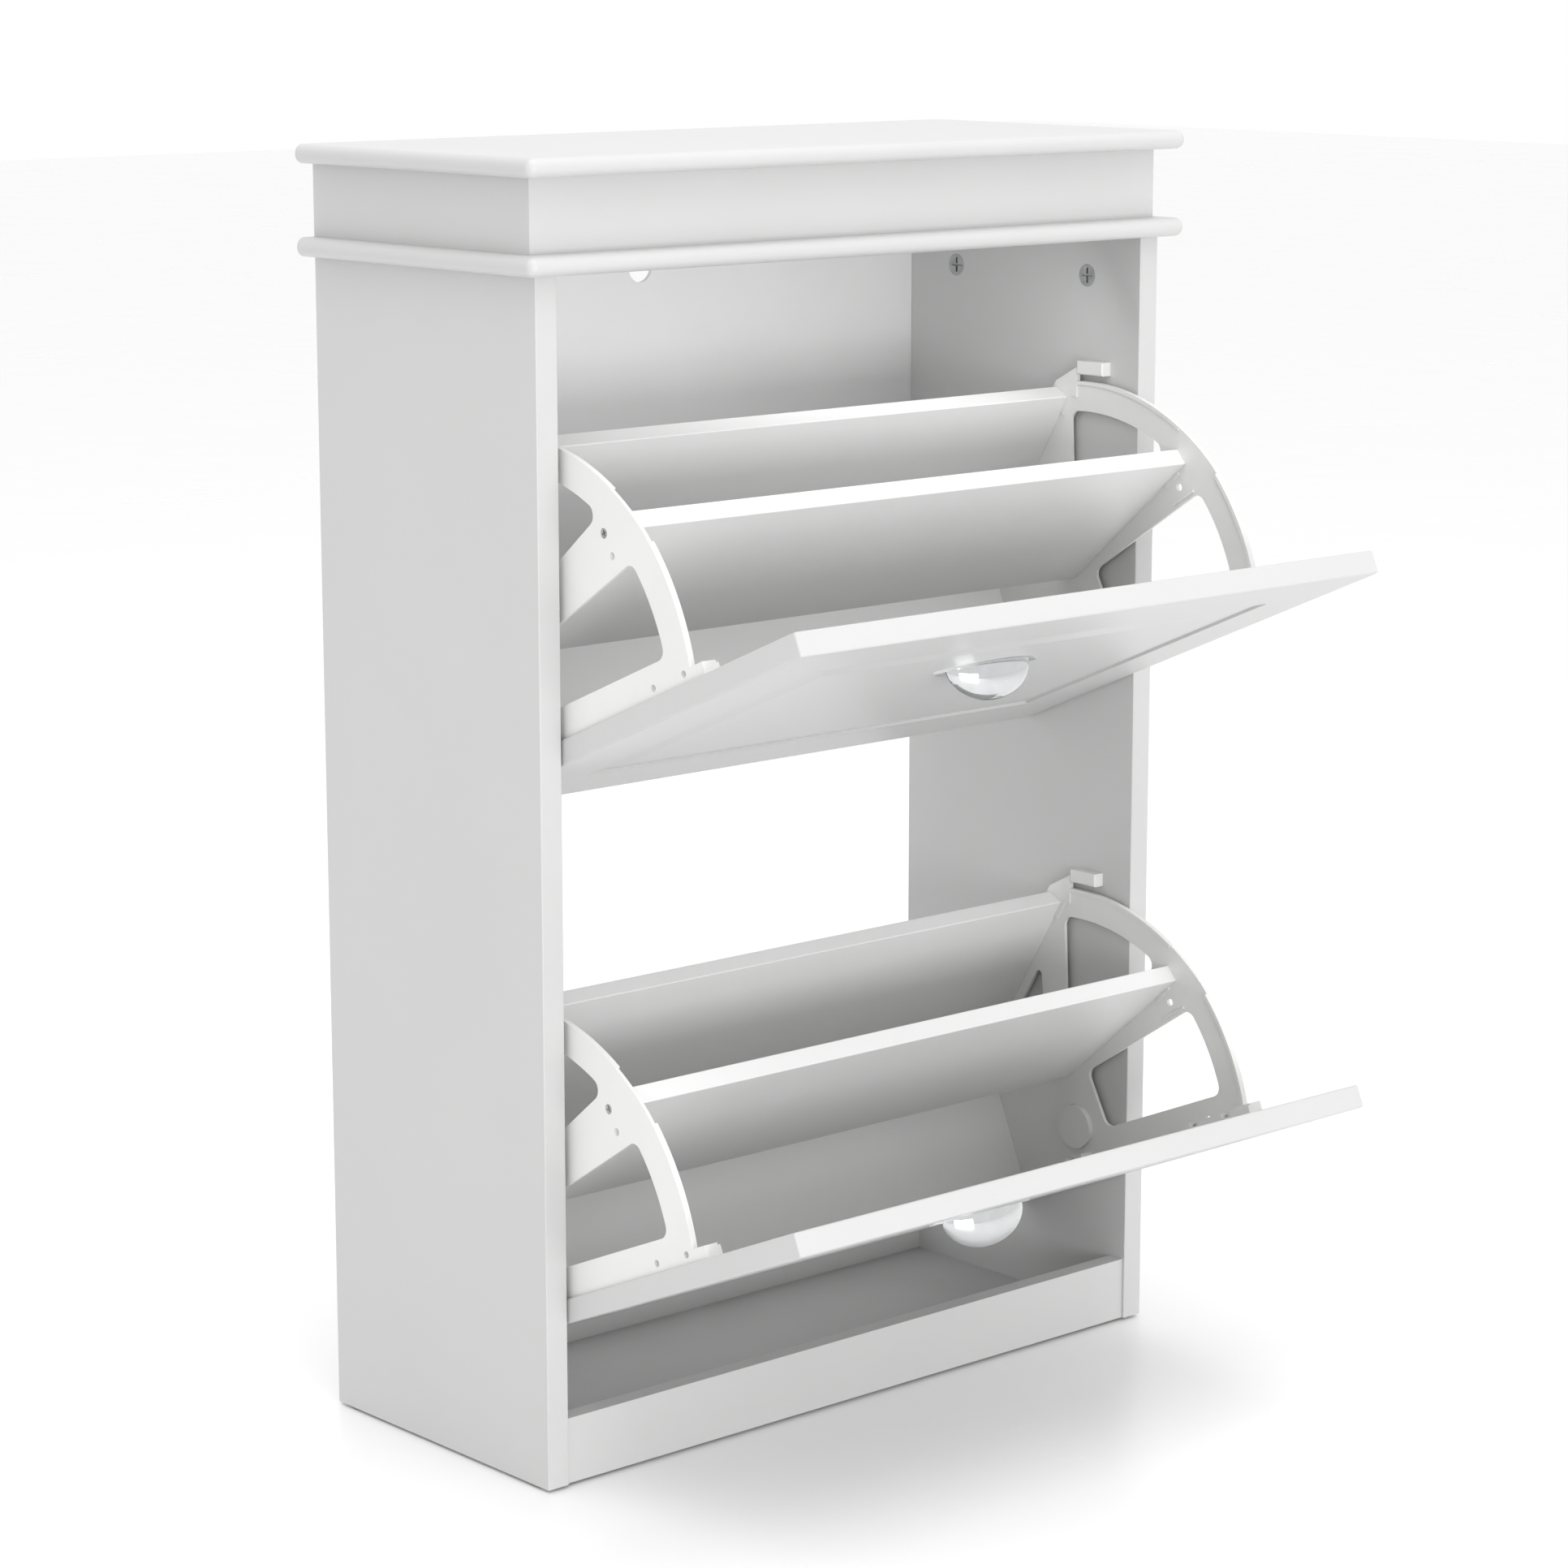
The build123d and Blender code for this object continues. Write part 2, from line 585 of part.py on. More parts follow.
def clip_outline():
    """Rib that wraps the top edge of the rear board."""
    return outline(
        along(REAR_TOP, REAR_DIR, 13.0, -0.1),
        along(REAR_TOP, REAR_DIR, -0.1, -0.1),
        along(REAR_TOP, REAR_DIR, -0.1, 12.1),
        along(REAR_TOP, REAR_DIR, 13.0, 12.1),
        along(REAR_TOP, REAR_DIR, 13.0, 14.6),
        along(REAR_TOP, REAR_DIR, -3.5, 14.6),
        along(REAR_TOP, REAR_DIR, -3.5, -3.5),
        along(REAR_TOP, REAR_DIR, 13.0, -3.5),
    )


def divider_clip_outline():
    """Short rib that the front face of the divider rests against."""
    return outline(
        along(DIVIDER_TOP, DIVIDER_DIR, 9.0, -0.1),
        along(DIVIDER_TOP, DIVIDER_DIR, 24.0, -0.1),
        along(DIVIDER_TOP, DIVIDER_DIR, 24.0, -3.0),
        along(DIVIDER_TOP, DIVIDER_DIR, 9.0, -2.2),
    )


def window_rib_outline():
    """Short stiffening rib beside the front window."""
    return outline((51.6, 110), (53.2, 110), (56.2, 131), (54.6, 131))


FOOT_IN = 229.0
FOOT_TOP = -19.5              # inner face of the foot pads, closed, from the pivot
FOOT_SEAT = -22.7             # floor of the screw pockets in them
FOOT_PADS = ((109.5, 173.0), (-67.0, 6.0))
FOOT_SCREW_Z = (119.0, 150.0, -56.0, -6.0)
FOOT_SCREW_X = 233.0
POCKET_HALF = 3.6
TAB_IN = 231.0
TAB_TOP = -18.0
BLIND_HOLES = ((-20.3, 154.3), (-20.3, 124.5))


def door_screw_places():
    """Screws that hold both frames' foot pads to the door, as (x, z)."""
    return [(side * FOOT_SCREW_X, z) for side in (-1, 1) for z in FOOT_SCREW_Z]


def board_screw_places():
    """Screws through a frame into the ends of the three boards, as (y, z)."""
    half = BOARD_T / 2
    floor_mid = FLAP_FLOOR_Z + half
    return [
        along(DIVIDER_TOP, DIVIDER_DIR, 12.0, half),
        along(DIVIDER_TOP, DIVIDER_DIR, DIVIDER_LENGTH - 14.0, half),
        along(REAR_TOP, REAR_DIR, 22.0, half),
        along(REAR_TOP, REAR_DIR, REAR_LENGTH - 20.0, half),
        (2.0, floor_mid),
        (44.0, floor_mid),
    ]


def frame():
    """Right-hand side frame of a flap, moulded in one piece with its pivot pin."""
    body = slab(frame_plate(), PLATE_IN, PLATE_OUT)
    rear_rim = ring_part(REAR_RIM_R - RIM_T, REAR_RIM_R, 20.0, 54.0)
    body += slab(rear_rim, RIB_IN, PLATE_OUT)
    door_side = outline((DOOR_BACK, 0), (200, 0), (200, 200), (DOOR_BACK, 200))
    front_rim = ring_part(FRONT_ARC_R - RIM_T, FRONT_ARC_R, 69.0, 100.0, FRONT_ARC_Y)
    body += slab(front_rim & door_side, FRONT_RIM_IN, PLATE_OUT)
    body += slab(hook_outline(), RIB_IN, PLATE_OUT)
    body += slab(clip_outline(), RIB_IN, PLATE_IN + 0.5)
    body += slab(divider_clip_outline(), RIB_IN, PLATE_IN + 0.5)
    body += slab(window_rib_outline(), RIB_IN, PLATE_IN + 0.5)
    for low, high in FOOT_PADS:
        body += block(FOOT_IN, PLATE_OUT, DOOR_BACK, FOOT_TOP, low, high)
    tab_high = FOOT_PADS[0][1]
    body += block(TAB_IN, PLATE_OUT, DOOR_BACK, TAB_TOP, tab_high - 15.0, tab_high)
    for z in FOOT_SCREW_Z:
        low = z - POCKET_HALF
        high = z + POCKET_HALF
        body -= block(FOOT_IN - 1, FOOT_SCREW_X + POCKET_HALF, FOOT_SEAT, FOOT_TOP + 1, low, high)
        body -= rod((FOOT_SCREW_X, DOOR_BACK - 1, z), (0, 1, 0), 2.0, 6.0)
    for y, z in BLIND_HOLES:
        body -= rod((PLATE_OUT + 1, y, z), (-1, 0, 0), 2.25, 6.0)
    body += slab(Circle(HUB_R), HUB_IN, HUB_OUT)
    body += rod((HUB_OUT - 0.5, 0, 0), (1, 0, 0), PIN_R, INNER + SOCKET_DEPTH - 2.0 - HUB_OUT)
    for y, z in board_screw_places():
        body -= sunk_screw_seat((PLATE_OUT, y, z))
    return body


def eased(board):
    """The board with its long edges very slightly rounded."""
    return fillet(board.edges().filter_by(Axis.X), EDGE_R)


def divider():
    """Slanted shelf between the front and rear shoe compartments."""
    corners = (
        DIVIDER_TOP,
        along(DIVIDER_TOP, DIVIDER_DIR, 0.0, BOARD_T),
        along(DIVIDER_TOP, DIVIDER_DIR, DIVIDER_LENGTH, BOARD_T),
        along(DIVIDER_TOP, DIVIDER_DIR, DIVIDER_LENGTH, 0.0),
    )
    return drilled_for_board_screws(eased(slab(outline(*corners), -BOARD_HALF, BOARD_HALF)))


def rear_board():
    """Slanted back wall of the flap."""
    corners = (
        REAR_TOP,
        along(REAR_TOP, REAR_DIR, 0.0, BOARD_T),
        along(REAR_TOP, REAR_DIR, REAR_LENGTH, BOARD_T),
        along(REAR_TOP, REAR_DIR, REAR_LENGTH, 0.0),
    )
    return drilled_for_board_screws(eased(slab(outline(*corners), -BOARD_HALF, BOARD_HALF)))


def bottom_board():
    """Floor of the flap, bevelled where it meets the rear board."""
    upper = FLAP_FLOOR_Z + BOARD_T
    gap = 0.2
    low_end = along(REAR_TOP, REAR_DIR, (FLAP_FLOOR_Z - REAR_TOP[1]) / REAR_DIR[1], -gap)
    high_end = along(REAR_TOP, REAR_DIR, (upper - REAR_TOP[1]) / REAR_DIR[1], -gap)
    corners = (
        (DOOR_BACK, FLAP_FLOOR_Z),
        (low_end[0], FLAP_FLOOR_Z),
        (high_end[0], upper),
        (DOOR_BACK, upper),
    )
    board = drilled_for_board_screws(slab(outline(*corners), -BOARD_HALF, BOARD_HALF))
    for hole in door_dowel_holes():
        board -= hole
    return board


DOOR_DOWEL_X = (-140.0, 0.0, 140.0)
DOOR_DOWEL_LENGTH = 24.0


def door_dowel_rods(extra):
    """Round bars across the joint between the door and the bottom board."""
    z = FLAP_FLOOR_Z + BOARD_T / 2
    start = DOOR_BACK - DOOR_DOWEL_LENGTH / 3 - 4 * extra
    length = DOOR_DOWEL_LENGTH + 8 * extra
    return [rod((x, start, z), (0, 1, 0), SMALL_DOWEL_R + extra, length) for x in DOOR_DOWEL_X]


def door_dowels():
    return door_dowel_rods(0.0)


def door_dowel_holes():
    return door_dowel_rods(FIT)


def drilled_for_board_screws(board):
    for side in (-1, 1):
        for y, z in board_screw_places():
            board -= rod((side * (BOARD_HALF + 1), y, z), (-side, 0, 0), 1.8, 17.0)
    return board


def board_screws():
    """Screws through the right frame into the board ends, heads just below its outer face."""
    return [sunk_screw((PLATE_OUT, y, z), 17.5) for y, z in board_screw_places()]


def frame_screws():
    """Screws through the foot pads into the door."""
    return [
        screw((x, FOOT_SEAT, z), (0, -1, 0), 1.75, 13.6, 3.0, 1.8)
        for x, z in door_screw_places()
    ]


# ---------------------------------------------------------------- write every node
save("side_panel_right", side_panel())
save("side_panel_left", mirror(side_panel(), about=Plane.YZ))
save("waist_board", waist_board())
save("top_board", top_board())
save("frieze_front", frieze_front())
save("frieze_right", frieze_side())
save("frieze_left", mirror(frieze_side(), about=Plane.YZ))
save("frieze_rear", frieze_rear())
save("frieze_dowels", *frieze_dowels())
save("upper_back_panel", upper_back_panel())
save("back_panel_nails", *back_panel_nails())
save("plinth", plinth())
save("rear_rail", rear_rail())
save("bottom_panel", bottom_panel())
save("bottom_panel_nails", *bottom_panel_nails())
save("rail_dowels", *[half for dowel in rail_dowels() for half in both_sides(dowel)])
save("cam_locks", *[half for lock in cam_locks() for half in both_sides(lock)])
save("cam_bolts", *[half for bolt in cam_bolts() for half in both_sides(bolt)])
save("floor_glides", *[half for glide in floor_glides() for half in both_sides(glide)])
for level, pivot_z in PIVOT_Z.items():
    save(f"{level}_stop_right", stop_block(pivot_z))
    save(f"{level}_stop_left", mirror(stop_block(pivot_z), about=Plane.YZ))
    save(f"{level}_socket_right", pivot_socket(pivot_z))
    save(f"{level}_socket_left", mirror(pivot_socket(pivot_z), about=Plane.YZ))

flap_nodes = {
    "door": [door()],
    "handle": [handle()],
    "handle_screws": handle_screws(),
    "frame_right": [frame()],
    "frame_left": [mirror(frame(), about=Plane.YZ)],
    "divider": [divider()],
    "rear_board": [rear_board()],
    "bottom_board": [bottom_board()],
    "door_dowels": door_dowels(),
    "board_screws": [half for one in board_screws() for half in both_sides(one)],
    "frame_screws": frame_screws(),
}
for level, pivot_z in PIVOT_Z.items():
    opened = Pos(0, PIVOT_Y, pivot_z) * Rot(OPEN_DEG, 0, 0)
    for name, pieces in flap_nodes.items():
        save(f"{level}_{name}", *[opened * piece for piece in pieces])
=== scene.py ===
import json
import math

import bmesh
import bpy
from mathutils import Matrix, Vector


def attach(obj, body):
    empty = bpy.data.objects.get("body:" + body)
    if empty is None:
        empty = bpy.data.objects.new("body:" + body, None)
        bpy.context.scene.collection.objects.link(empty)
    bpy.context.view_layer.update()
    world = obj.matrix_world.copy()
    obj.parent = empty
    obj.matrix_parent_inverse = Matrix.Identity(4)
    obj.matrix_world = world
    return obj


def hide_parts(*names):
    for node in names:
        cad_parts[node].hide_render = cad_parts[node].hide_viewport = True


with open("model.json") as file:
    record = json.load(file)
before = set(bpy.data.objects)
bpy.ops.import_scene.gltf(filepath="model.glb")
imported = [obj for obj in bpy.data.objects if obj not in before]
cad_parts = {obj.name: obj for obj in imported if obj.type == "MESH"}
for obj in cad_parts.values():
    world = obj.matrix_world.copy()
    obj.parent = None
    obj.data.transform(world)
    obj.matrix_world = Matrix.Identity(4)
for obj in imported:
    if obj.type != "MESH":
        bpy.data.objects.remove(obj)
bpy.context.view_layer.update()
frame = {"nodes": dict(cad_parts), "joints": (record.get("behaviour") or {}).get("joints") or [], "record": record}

# A white shoe cabinet with two tilting flaps, looked at from its front left corner.
NODES = frame["nodes"]
BODIES = frame["record"]["behaviour"]["bodies"]
SLOT_OF = {part["node"]: part["material_slot"] for part in frame["record"]["subparts"]}
BODY_OF = {node: body for body, nodes in BODIES.items() for node in nodes}
PIVOTS = {joint["child"]: Vector(joint["pos_m"]) for joint in frame["joints"]}
OPEN_ANGLE = math.radians(frame["joints"][0]["range_deg"][1])
LEVELS = ("upper", "lower")
MM = 0.001


# ------------------------------------------------------------------ materials
def new_material(name):
    """A material with its shader and a helper that adds and wires nodes."""
    material = bpy.data.materials.new(name)
    material.use_nodes = True
    tree = material.node_tree
    shader = next(n for n in tree.nodes if n.type == "BSDF_PRINCIPLED")

    def add(kind, values=None, **links):
        node = tree.nodes.new(kind)
        for key, value in (values or {}).items():
            if key in node.inputs:
                node.inputs[key].default_value = value
            else:
                setattr(node, key, value)
        for key, output in links.items():
            tree.links.new(output, node.inputs[key.replace("_", " ")])
        return node

    def wire(output, socket):
        tree.links.new(output, shader.inputs[socket])

    return material, shader, add, wire


def stretched_coordinates(add, stretch=(1.0, 1.0, 1.0)):
    place = add("ShaderNodeTexCoord")
    return add("ShaderNodeMapping", {"Scale": stretch}, Vector=place.outputs["Object"]).outputs["Vector"]


def ramp(add, source, dark, light, low=0.3, high=0.7):
    node = add("ShaderNodeValToRGB", Fac=source)
    ends = node.color_ramp.elements
    ends[0].position = low
    ends[0].color = (*dark, 1.0)
    ends[1].position = high
    ends[1].color = (*light, 1.0)
    return node.outputs["Color"]


def spread(add, source, low, high):
    """A value that follows a texture between two limits."""
    node = add("ShaderNodeMapRange", {"To Min": low, "To Max": high}, Value=source)
    return node.outputs["Result"]


def bumped(add, wire, height, strength, distance):
    node = add("ShaderNodeBump", {"Strength": strength, "Distance": distance}, Height=height)
    wire(node.outputs["Normal"], "Normal")


def laminate(name, white, tint_step=0.012, peel=0.10, gloss=(0.36, 0.46)):
    """Satin melamine film on fibreboard: a faint mottle, and the skin's fine orange peel."""
    material, shader, add, wire = new_material(name)
    at = stretched_coordinates(add)
    mottle = add("ShaderNodeTexNoise", {"Scale": 9.0, "Detail": 4.0, "Roughness": 0.6}, Vector=at)
    dark = tuple(c - tint_step for c in white)
    wire(ramp(add, mottle.outputs["Fac"], dark, white), "Base Color")
    skin = add("ShaderNodeTexNoise", {"Scale": 420.0, "Detail": 3.0, "Roughness": 0.55}, Vector=at)
    fine = add("ShaderNodeTexNoise", {"Scale": 2400.0, "Detail": 2.0}, Vector=at)
    both = add("ShaderNodeMath", {"operation": "MULTIPLY_ADD"})
    tree = material.node_tree
    tree.links.new(fine.outputs["Fac"], both.inputs[0])
    both.inputs[1].default_value = 0.35
    tree.links.new(skin.outputs["Fac"], both.inputs[2])
    bumped(add, wire, both.outputs["Value"], peel, 0.0002)
    wire(spread(add, mottle.outputs["Fac"], *gloss), "Roughness")
    shader.inputs["Coat Weight"].default_value = 0.12
    shader.inputs["Coat Roughness"].default_value = 0.25
    return material


def hardboard(name, dark, light):
    """Thin painted fibreboard: flatter paint over pressed fibres."""
    material, shader, add, wire = new_material(name)
    at = stretched_coordinates(add)
    cloud = add("ShaderNodeTexNoise", {"Scale": 14.0, "Detail": 6.0, "Roughness": 0.65}, Vector=at)
    wire(ramp(add, cloud.outputs["Fac"], dark, light), "Base Color")
    fibre_at = stretched_coordinates(add, (1.0, 1.0, 0.25))
    fibres = add("ShaderNodeTexNoise", {"Scale": 900.0, "Detail": 5.0, "Roughness": 0.7}, Vector=fibre_at)
    bumped(add, wire, fibres.outputs["Fac"], 0.18, 0.0002)
    wire(spread(add, cloud.outputs["Fac"], 0.55, 0.68), "Roughness")
    return material


def moulded_plastic(name, light, dark, gloss, grain=0.22):
    """Injection-moulded plastic: spark-eroded grain and slow flow shading."""
    material, shader, add, wire = new_material(name)
    at = stretched_coordinates(add)
    flow = add("ShaderNodeTexNoise", {"Scale": 18.0, "Detail": 2.0, "Distortion": 0.8}, Vector=at)
    wire(ramp(add, flow.outputs["Fac"], dark, light), "Base Color")
    cells = add("ShaderNodeTexVoronoi", {"Scale": 1500.0}, Vector=at)
    bumped(add, wire, cells.outputs["Distance"], grain, 0.0001)
    wire(spread(add, flow.outputs["Fac"], *gloss), "Roughness")
    shader.inputs["Subsurface Weight"].default_value = 0.06
    shader.inputs["Subsurface Radius"].default_value = (0.004, 0.004, 0.004)
    return material


def chrome(name):
    """Bright plating with a barely uneven surface and faint smears."""
    material, shader, add, wire = new_material(name)
    at = stretched_coordinates(add)
    smear = add("ShaderNodeTexNoise", {"Scale": 45.0, "Detail": 3.0, "Distortion": 1.2}, Vector=at)
    wire(ramp(add, smear.outputs["Fac"], (0.60, 0.607, 0.615), (0.66, 0.667, 0.672)), "Base Color")
    wire(spread(add, smear.outputs["Fac"], 0.03, 0.075), "Roughness")
    ripple = add("ShaderNodeTexNoise", {"Scale": 160.0, "Detail": 1.0}, Vector=at)
    bumped(add, wire, ripple.outputs["Fac"], 0.03, 0.0001)
    shader.inputs["Metallic"].default_value = 1.0
    return material


def zinc_steel(name):
    """Zinc-plated screws and cams: turned rings and a dull grey bloom."""
    material, shader, add, wire = new_material(name)
    at = stretched_coordinates(add)
    bloom = add("ShaderNodeTexNoise", {"Scale": 320.0, "Detail": 5.0}, Vector=at)
    wire(ramp(add, bloom.outputs["Fac"], (0.36, 0.365, 0.37), (0.50, 0.505, 0.51)), "Base Color")
    scratches = stretched_coordinates(add, (1.0, 8.0, 1.0))
    lines = add("ShaderNodeTexNoise", {"Scale": 1400.0, "Detail": 2.0}, Vector=scratches)
    bumped(add, wire, lines.outputs["Fac"], 0.15, 0.0001)
    wire(spread(add, bloom.outputs["Fac"], 0.30, 0.48), "Roughness")
    shader.inputs["Metallic"].default_value = 0.9
    return material


def beech(name):
    """Plain dowel wood with fine straight grain."""
    material, shader, add, wire = new_material(name)
    at = stretched_coordinates(add, (1.0, 1.0, 0.15))
    rings = add("ShaderNodeTexNoise", {"Scale": 260.0, "Detail": 6.0, "Distortion": 0.6}, Vector=at)
    wire(ramp(add, rings.outputs["Fac"], (0.44, 0.30, 0.17), (0.66, 0.50, 0.32)), "Base Color")
    bumped(add, wire, rings.outputs["Fac"], 0.3, 0.0002)
    wire(spread(add, rings.outputs["Fac"], 0.5, 0.7), "Roughness")
    return material


def studio_floor(name):
    """Seamless white paper with a slight sheen."""
    material, shader, add, wire = new_material(name)
    at = stretched_coordinates(add)
    paper = add("ShaderNodeTexNoise", {"Scale": 3.0, "Detail": 3.0}, Vector=at)
    wire(ramp(add, paper.outputs["Fac"], (0.925, 0.925, 0.925), (0.935, 0.935, 0.935)), "Base Color")
    wire(spread(add, paper.outputs["Fac"], 0.22, 0.30), "Roughness")
    return material


WHITE = (0.555, 0.557, 0.554)
# The inner boards are the same laminate as the carcass; this lighter white is painted light for the brighter bays.
INNER_PAINTED_LIGHT_WHITE = (0.77, 0.772, 0.768)
MATERIALS = {
    "white_laminate": laminate("satin_laminate", WHITE),
    "painted_hardboard": hardboard("painted_hardboard", (0.665, 0.668, 0.665), (0.69, 0.692, 0.69)),
    "frame_plastic": moulded_plastic("offwhite_plastic", (0.75, 0.752, 0.742), (0.73, 0.732, 0.722), (0.40, 0.50)),
    "glide_plastic": moulded_plastic("grey_plastic", (0.24, 0.24, 0.235), (0.20, 0.20, 0.195), (0.5, 0.6)),
    "chrome": chrome("bright_chrome"),
    "zinc_steel": zinc_steel("zinc_steel"),
    "dowel_wood": beech("beech"),
}


# Lighter copy of the laminate for dividers, rear boards and bottom boards: painted light.
INNER_PAINTED_LIGHT_LAMINATE = laminate("inner_laminate_painted_light", INNER_PAINTED_LIGHT_WHITE)
# Darker copy of the hardboard for the bottom panel: painted shade of the dim bottom compartment.
UNDER_BOARD_PAINTED_SHADE = hardboard("painted_shade_hardboard", (0.37, 0.373, 0.37), (0.40, 0.403, 0.40))


def look_of(node):
    """The material that a node wears; the inner boards get a lighter copy carrying painted light, the bottom panel
    a darker copy carrying painted shade.
    """
    if node.endswith(("_divider", "_rear_board", "_bottom_board")):
        return INNER_PAINTED_LIGHT_LAMINATE
    if node == "bottom_panel":
        return UNDER_BOARD_PAINTED_SHADE
    return MATERIALS[SLOT_OF[node]]


# ------------------------------------------------------------------ pieces
def add_piece(name, mesh, node, smooth_below=35.0):
    """Puts a finished mesh in the scene in place of a CAD node, on that node's body."""
    piece = bpy.data.objects.new(name, mesh)
    bpy.context.scene.collection.objects.link(piece)
    mesh.materials.clear()
    mesh.materials.append(look_of(node))
    mesh.shade_smooth()
    if smooth_below:
        mesh.set_sharp_from_angle(angle=math.radians(smooth_below))
    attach(piece, BODY_OF[node])
    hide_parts(node)
    return piece


def softened(node, width, segments=2):
    """The CAD piece with every sharp edge rounded off, as sanding or a mould leaves it."""
    mesh = NODES[node].data.copy()
    mesh.name = node + "_edges"
    for extra in ("custom_normal",):
        if extra in mesh.attributes:
            mesh.attributes.remove(mesh.attributes[extra])
    shape = bmesh.new()
    shape.from_mesh(mesh)
    bmesh.ops.remove_doubles(shape, verts=shape.verts, dist=0.00002)
    bmesh.ops.dissolve_limit(shape, angle_limit=math.radians(0.5), verts=shape.verts, edges=shape.edges)
    shape.to_mesh(mesh)
    shape.free()
    piece = add_piece(node + "_finished", mesh, node)
    bevel = piece.modifiers.new("eased_edges", "BEVEL")
    bevel.width = width
    bevel.segments = segments
    bevel.limit_method = "ANGLE"
    bevel.angle_limit = math.radians(40)
    bevel.harden_normals = True
    return piece


for node, cad in NODES.items():
    cad.data.materials.clear()
    cad.data.materials.append(look_of(node))

# A door, closed, in millimetres from its flap's pivot: half width, heights and depths.
DOOR_HALF = 243.5
DOOR_LOW = -81.5
DOOR_HIGH = 259.5
DOOR_FRONT = -40.5
DOOR_BACK = -25.5
BORDER = (189.5, -22.5, 210.0, 0.2)
STEP_DEPTH = 1.8
STEP_WIDTH = 0.5
PANEL_SLOPE = 19.0
DOOR_ROUND = 1.2
CORNER_STEPS = 4


def rounded_loop(inset, y, half=DOOR_HALF, low=DOOR_LOW, high=DOOR_HIGH, radius=1.5):
    """Points of an upright rectangle with rounded corners, facing the front, in metres."""
    half = half - inset
    low = low + inset
    high = high - inset
    radius = max(radius, 0.05)
    points = []
    for quarter, (sx, sz) in enumerate(((1, 1), (-1, 1), (-1, -1), (1, -1))):
        corner_x = sx * (half - radius)
        corner_z = (high - radius) if sz > 0 else (low + radius)
        for step in range(CORNER_STEPS + 1):
            turn = math.radians(90 * (quarter + step / CORNER_STEPS))
            x = corner_x + radius * math.cos(turn)
            z = corner_z + radius * math.sin(turn)
            points.append(Vector((x, y, z)) * MM)
    return points


def door_piece(level):
    """The flap's front: rounded edges, and a raised panel inside a stepped border."""
    soft = DOOR_ROUND
    part = 0.29 * soft
    loops = [
        rounded_loop(soft, DOOR_BACK),
        rounded_loop(part, DOOR_BACK - part),
        rounded_loop(0.0, DOOR_BACK - soft),
        rounded_loop(0.0, DOOR_FRONT + soft),
        rounded_loop(part, DOOR_FRONT + part),
        rounded_loop(soft, DOOR_FRONT),
        rounded_loop(0.0, DOOR_FRONT, *BORDER),
        rounded_loop(0.0, DOOR_FRONT + STEP_DEPTH, *BORDER),
        rounded_loop(STEP_WIDTH, DOOR_FRONT + STEP_DEPTH, *BORDER),
        rounded_loop(PANEL_SLOPE, DOOR_FRONT, *BORDER),
    ]
    crisp = (6, 7, 8, 9)
    shape = bmesh.new()
    opened = Matrix.Translation(PIVOTS[level + "_flap"]) @ Matrix.Rotation(OPEN_ANGLE, 4, "X")
    rows = [[shape.verts.new(opened @ point) for point in loop] for loop in loops]
    count = len(rows[0])
    for near, far in zip(rows, rows[1:]):
        for i in range(count):
            j = (i + 1) % count
            shape.faces.new((near[i], near[j], far[j], far[i]))
    shape.faces.new(rows[0])
    shape.faces.new(rows[-1])
    bmesh.ops.recalc_face_normals(shape, faces=shape.faces)
    for number in crisp:
        row = rows[number]
        for i in range(count):
            shape.edges.get((row[i], row[(i + 1) % count])).smooth = False
    mesh = bpy.data.meshes.new(level + "_door_board")
    shape.to_mesh(mesh)
    shape.free()
    piece = add_piece(level + "_door_finished", mesh, level + "_door", None)
    even = piece.modifiers.new("flat_faces", "WEIGHTED_NORMAL")
    even.keep_sharp = True
    return piece


BOARD_EDGE = 0.6 * MM
MOULD_EDGE = 0.4 * MM
for node in ("plinth", "rear_rail", "frieze_front", "frieze_left", "frieze_right", "frieze_rear"):
    softened(node, BOARD_EDGE)
for level in LEVELS:
    door_piece(level)
    softened(f"{level}_handle", MOULD_EDGE, 3)
    for side in ("left", "right"):
        softened(f"{level}_frame_{side}", MOULD_EDGE)
        softened(f"{level}_stop_{side}", MOULD_EDGE)


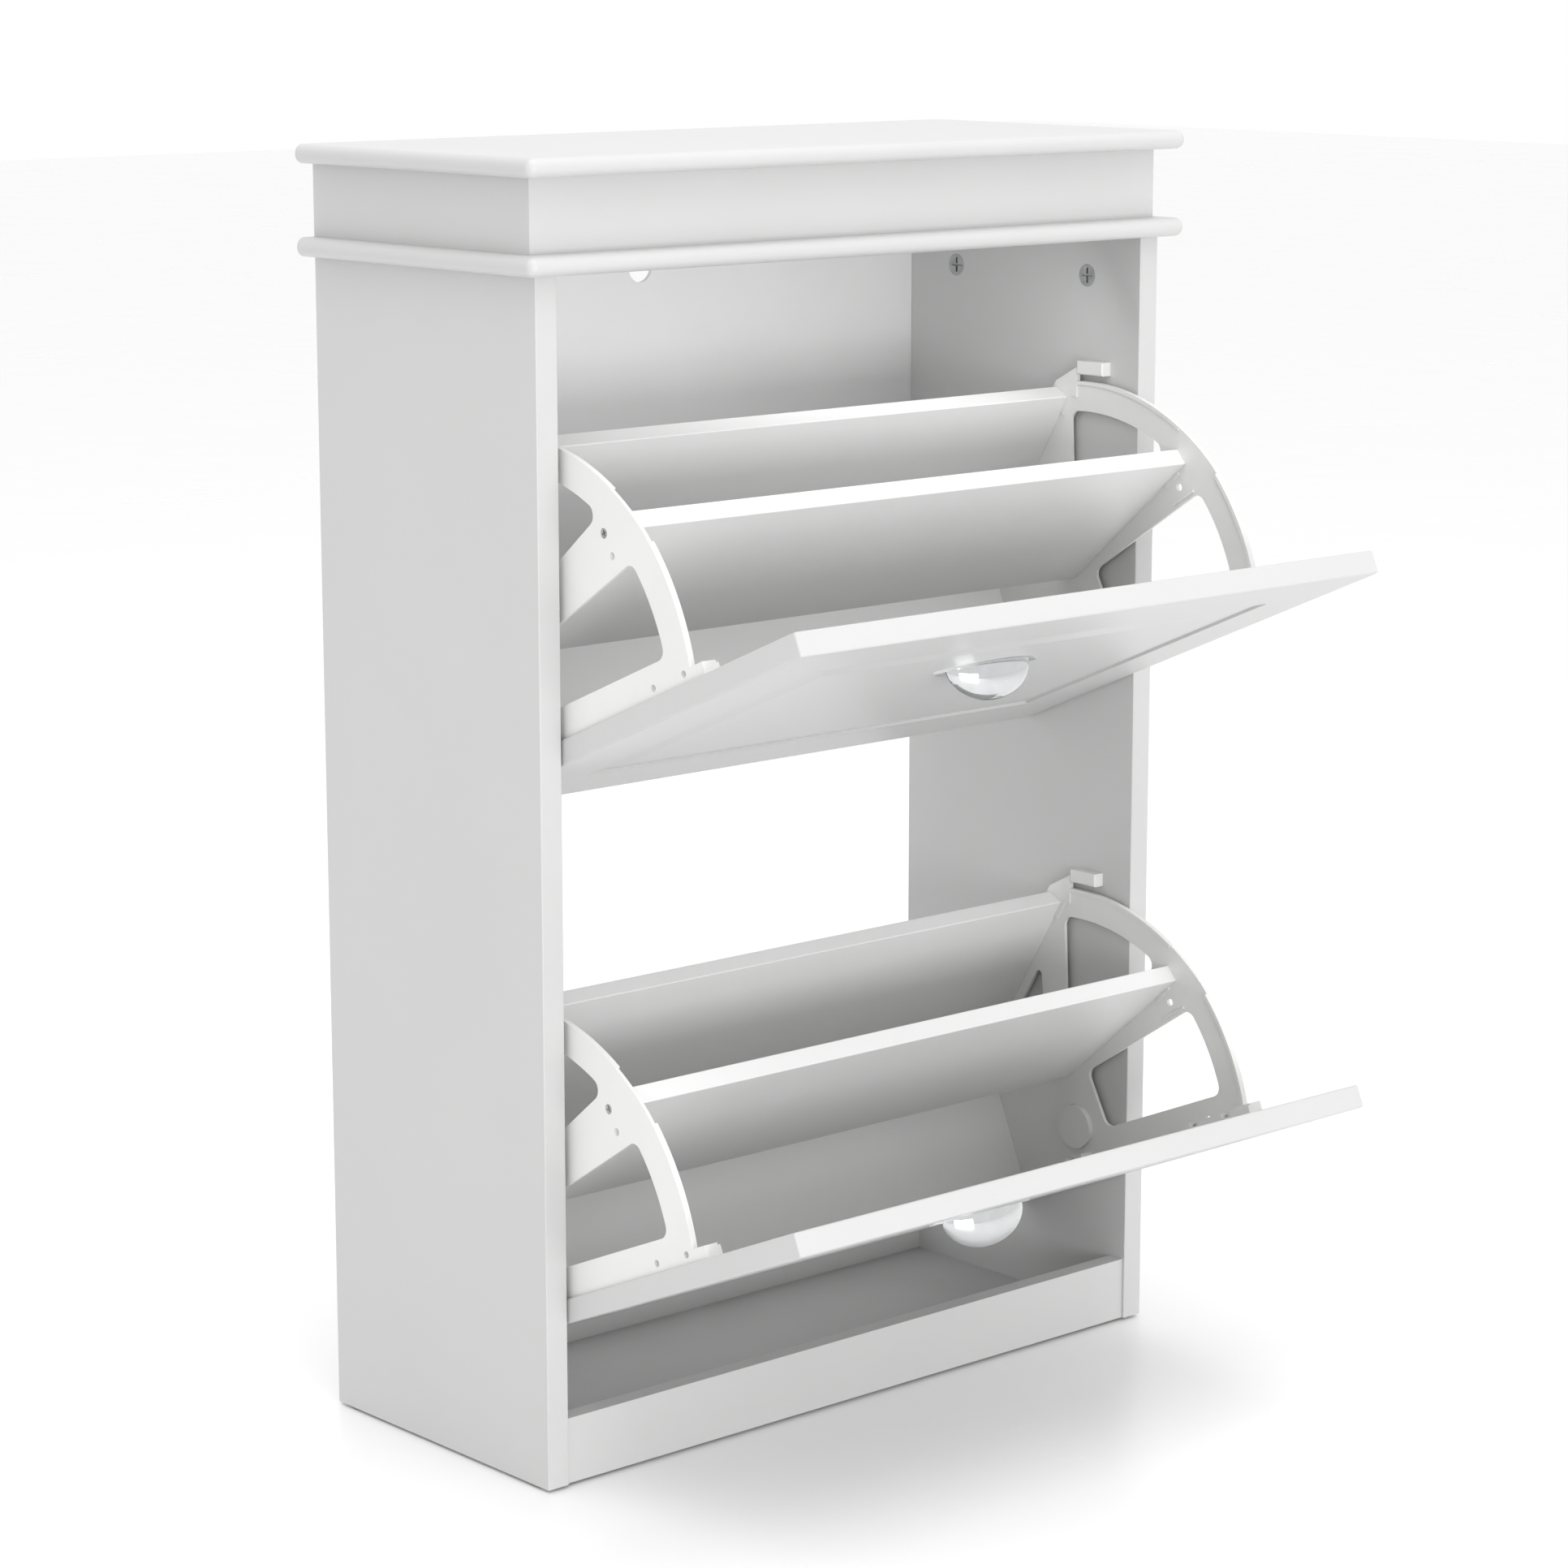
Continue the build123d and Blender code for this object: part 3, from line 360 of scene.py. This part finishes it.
# ------------------------------------------------------------------ light, floor, camera
def area_light(name, at, toward, size, power, tint=(1.0, 1.0, 1.0)):
    light = bpy.data.lights.new(name, "AREA")
    light.shape = "RECTANGLE"
    light.size, light.size_y = size
    light.energy = power
    light.color = tint
    lamp = bpy.data.objects.new(name, light)
    lamp.location = at
    lamp.rotation_euler = (Vector(toward) - Vector(at)).to_track_quat("-Z", "Y").to_euler()
    bpy.context.scene.collection.objects.link(lamp)
    return lamp


def make_floor(half=14.0):
    shape = bmesh.new()
    bmesh.ops.create_grid(shape, x_segments=8, y_segments=8, size=half)
    mesh = bpy.data.meshes.new("studio_floor")
    shape.to_mesh(mesh)
    shape.free()
    floor = bpy.data.objects.new("studio_floor", mesh)
    bpy.context.scene.collection.objects.link(floor)
    mesh.materials.append(studio_floor("white_paper"))


def white_surroundings(strength):
    world = bpy.data.worlds.new("white_studio")
    bpy.context.scene.world = world
    world.use_nodes = True
    sky = world.node_tree.nodes["Background"]
    sky.inputs["Color"].default_value = (1.0, 1.0, 1.0, 1.0)
    sky.inputs["Strength"].default_value = strength


CAMERA_AT = (-1.8025, -1.9628, 0.9392)
CAMERA_TURN = 41.465          # degrees from +Y towards +X
CAMERA_TILT = 11.224          # degrees below level
LENS_MM = 98.15
SENSOR_MM = 36.0


def make_camera():
    lens = bpy.data.cameras.new("photo_view")
    lens.lens = LENS_MM
    lens.sensor_width = SENSOR_MM
    lens.sensor_fit = "HORIZONTAL"
    lens.clip_end = 60.0
    camera = bpy.data.objects.new("photo_view", lens)
    camera.location = CAMERA_AT
    camera.rotation_euler = (math.radians(90 - CAMERA_TILT), 0.0, math.radians(-CAMERA_TURN))
    bpy.context.scene.collection.objects.link(camera)
    bpy.context.scene.camera = camera


make_floor()
white_surroundings(1.0)
area_light("top_softbox", (-0.3, -0.6, 3.2), (0.0, 0.0, 0.3), (3.0, 3.0), 48.0)
area_light("front_softbox", (-0.7, -3.0, 0.4), (0.0, 0.0, 0.3), (2.4, 0.75), 36.0)
area_light("inside_fill", (0.0, 0.06, 0.70), (0.03, 0.2, 0.60), (0.42, 0.04), 0.13).visible_camera = False
make_camera()
bpy.context.scene.view_settings.view_transform = "Standard"
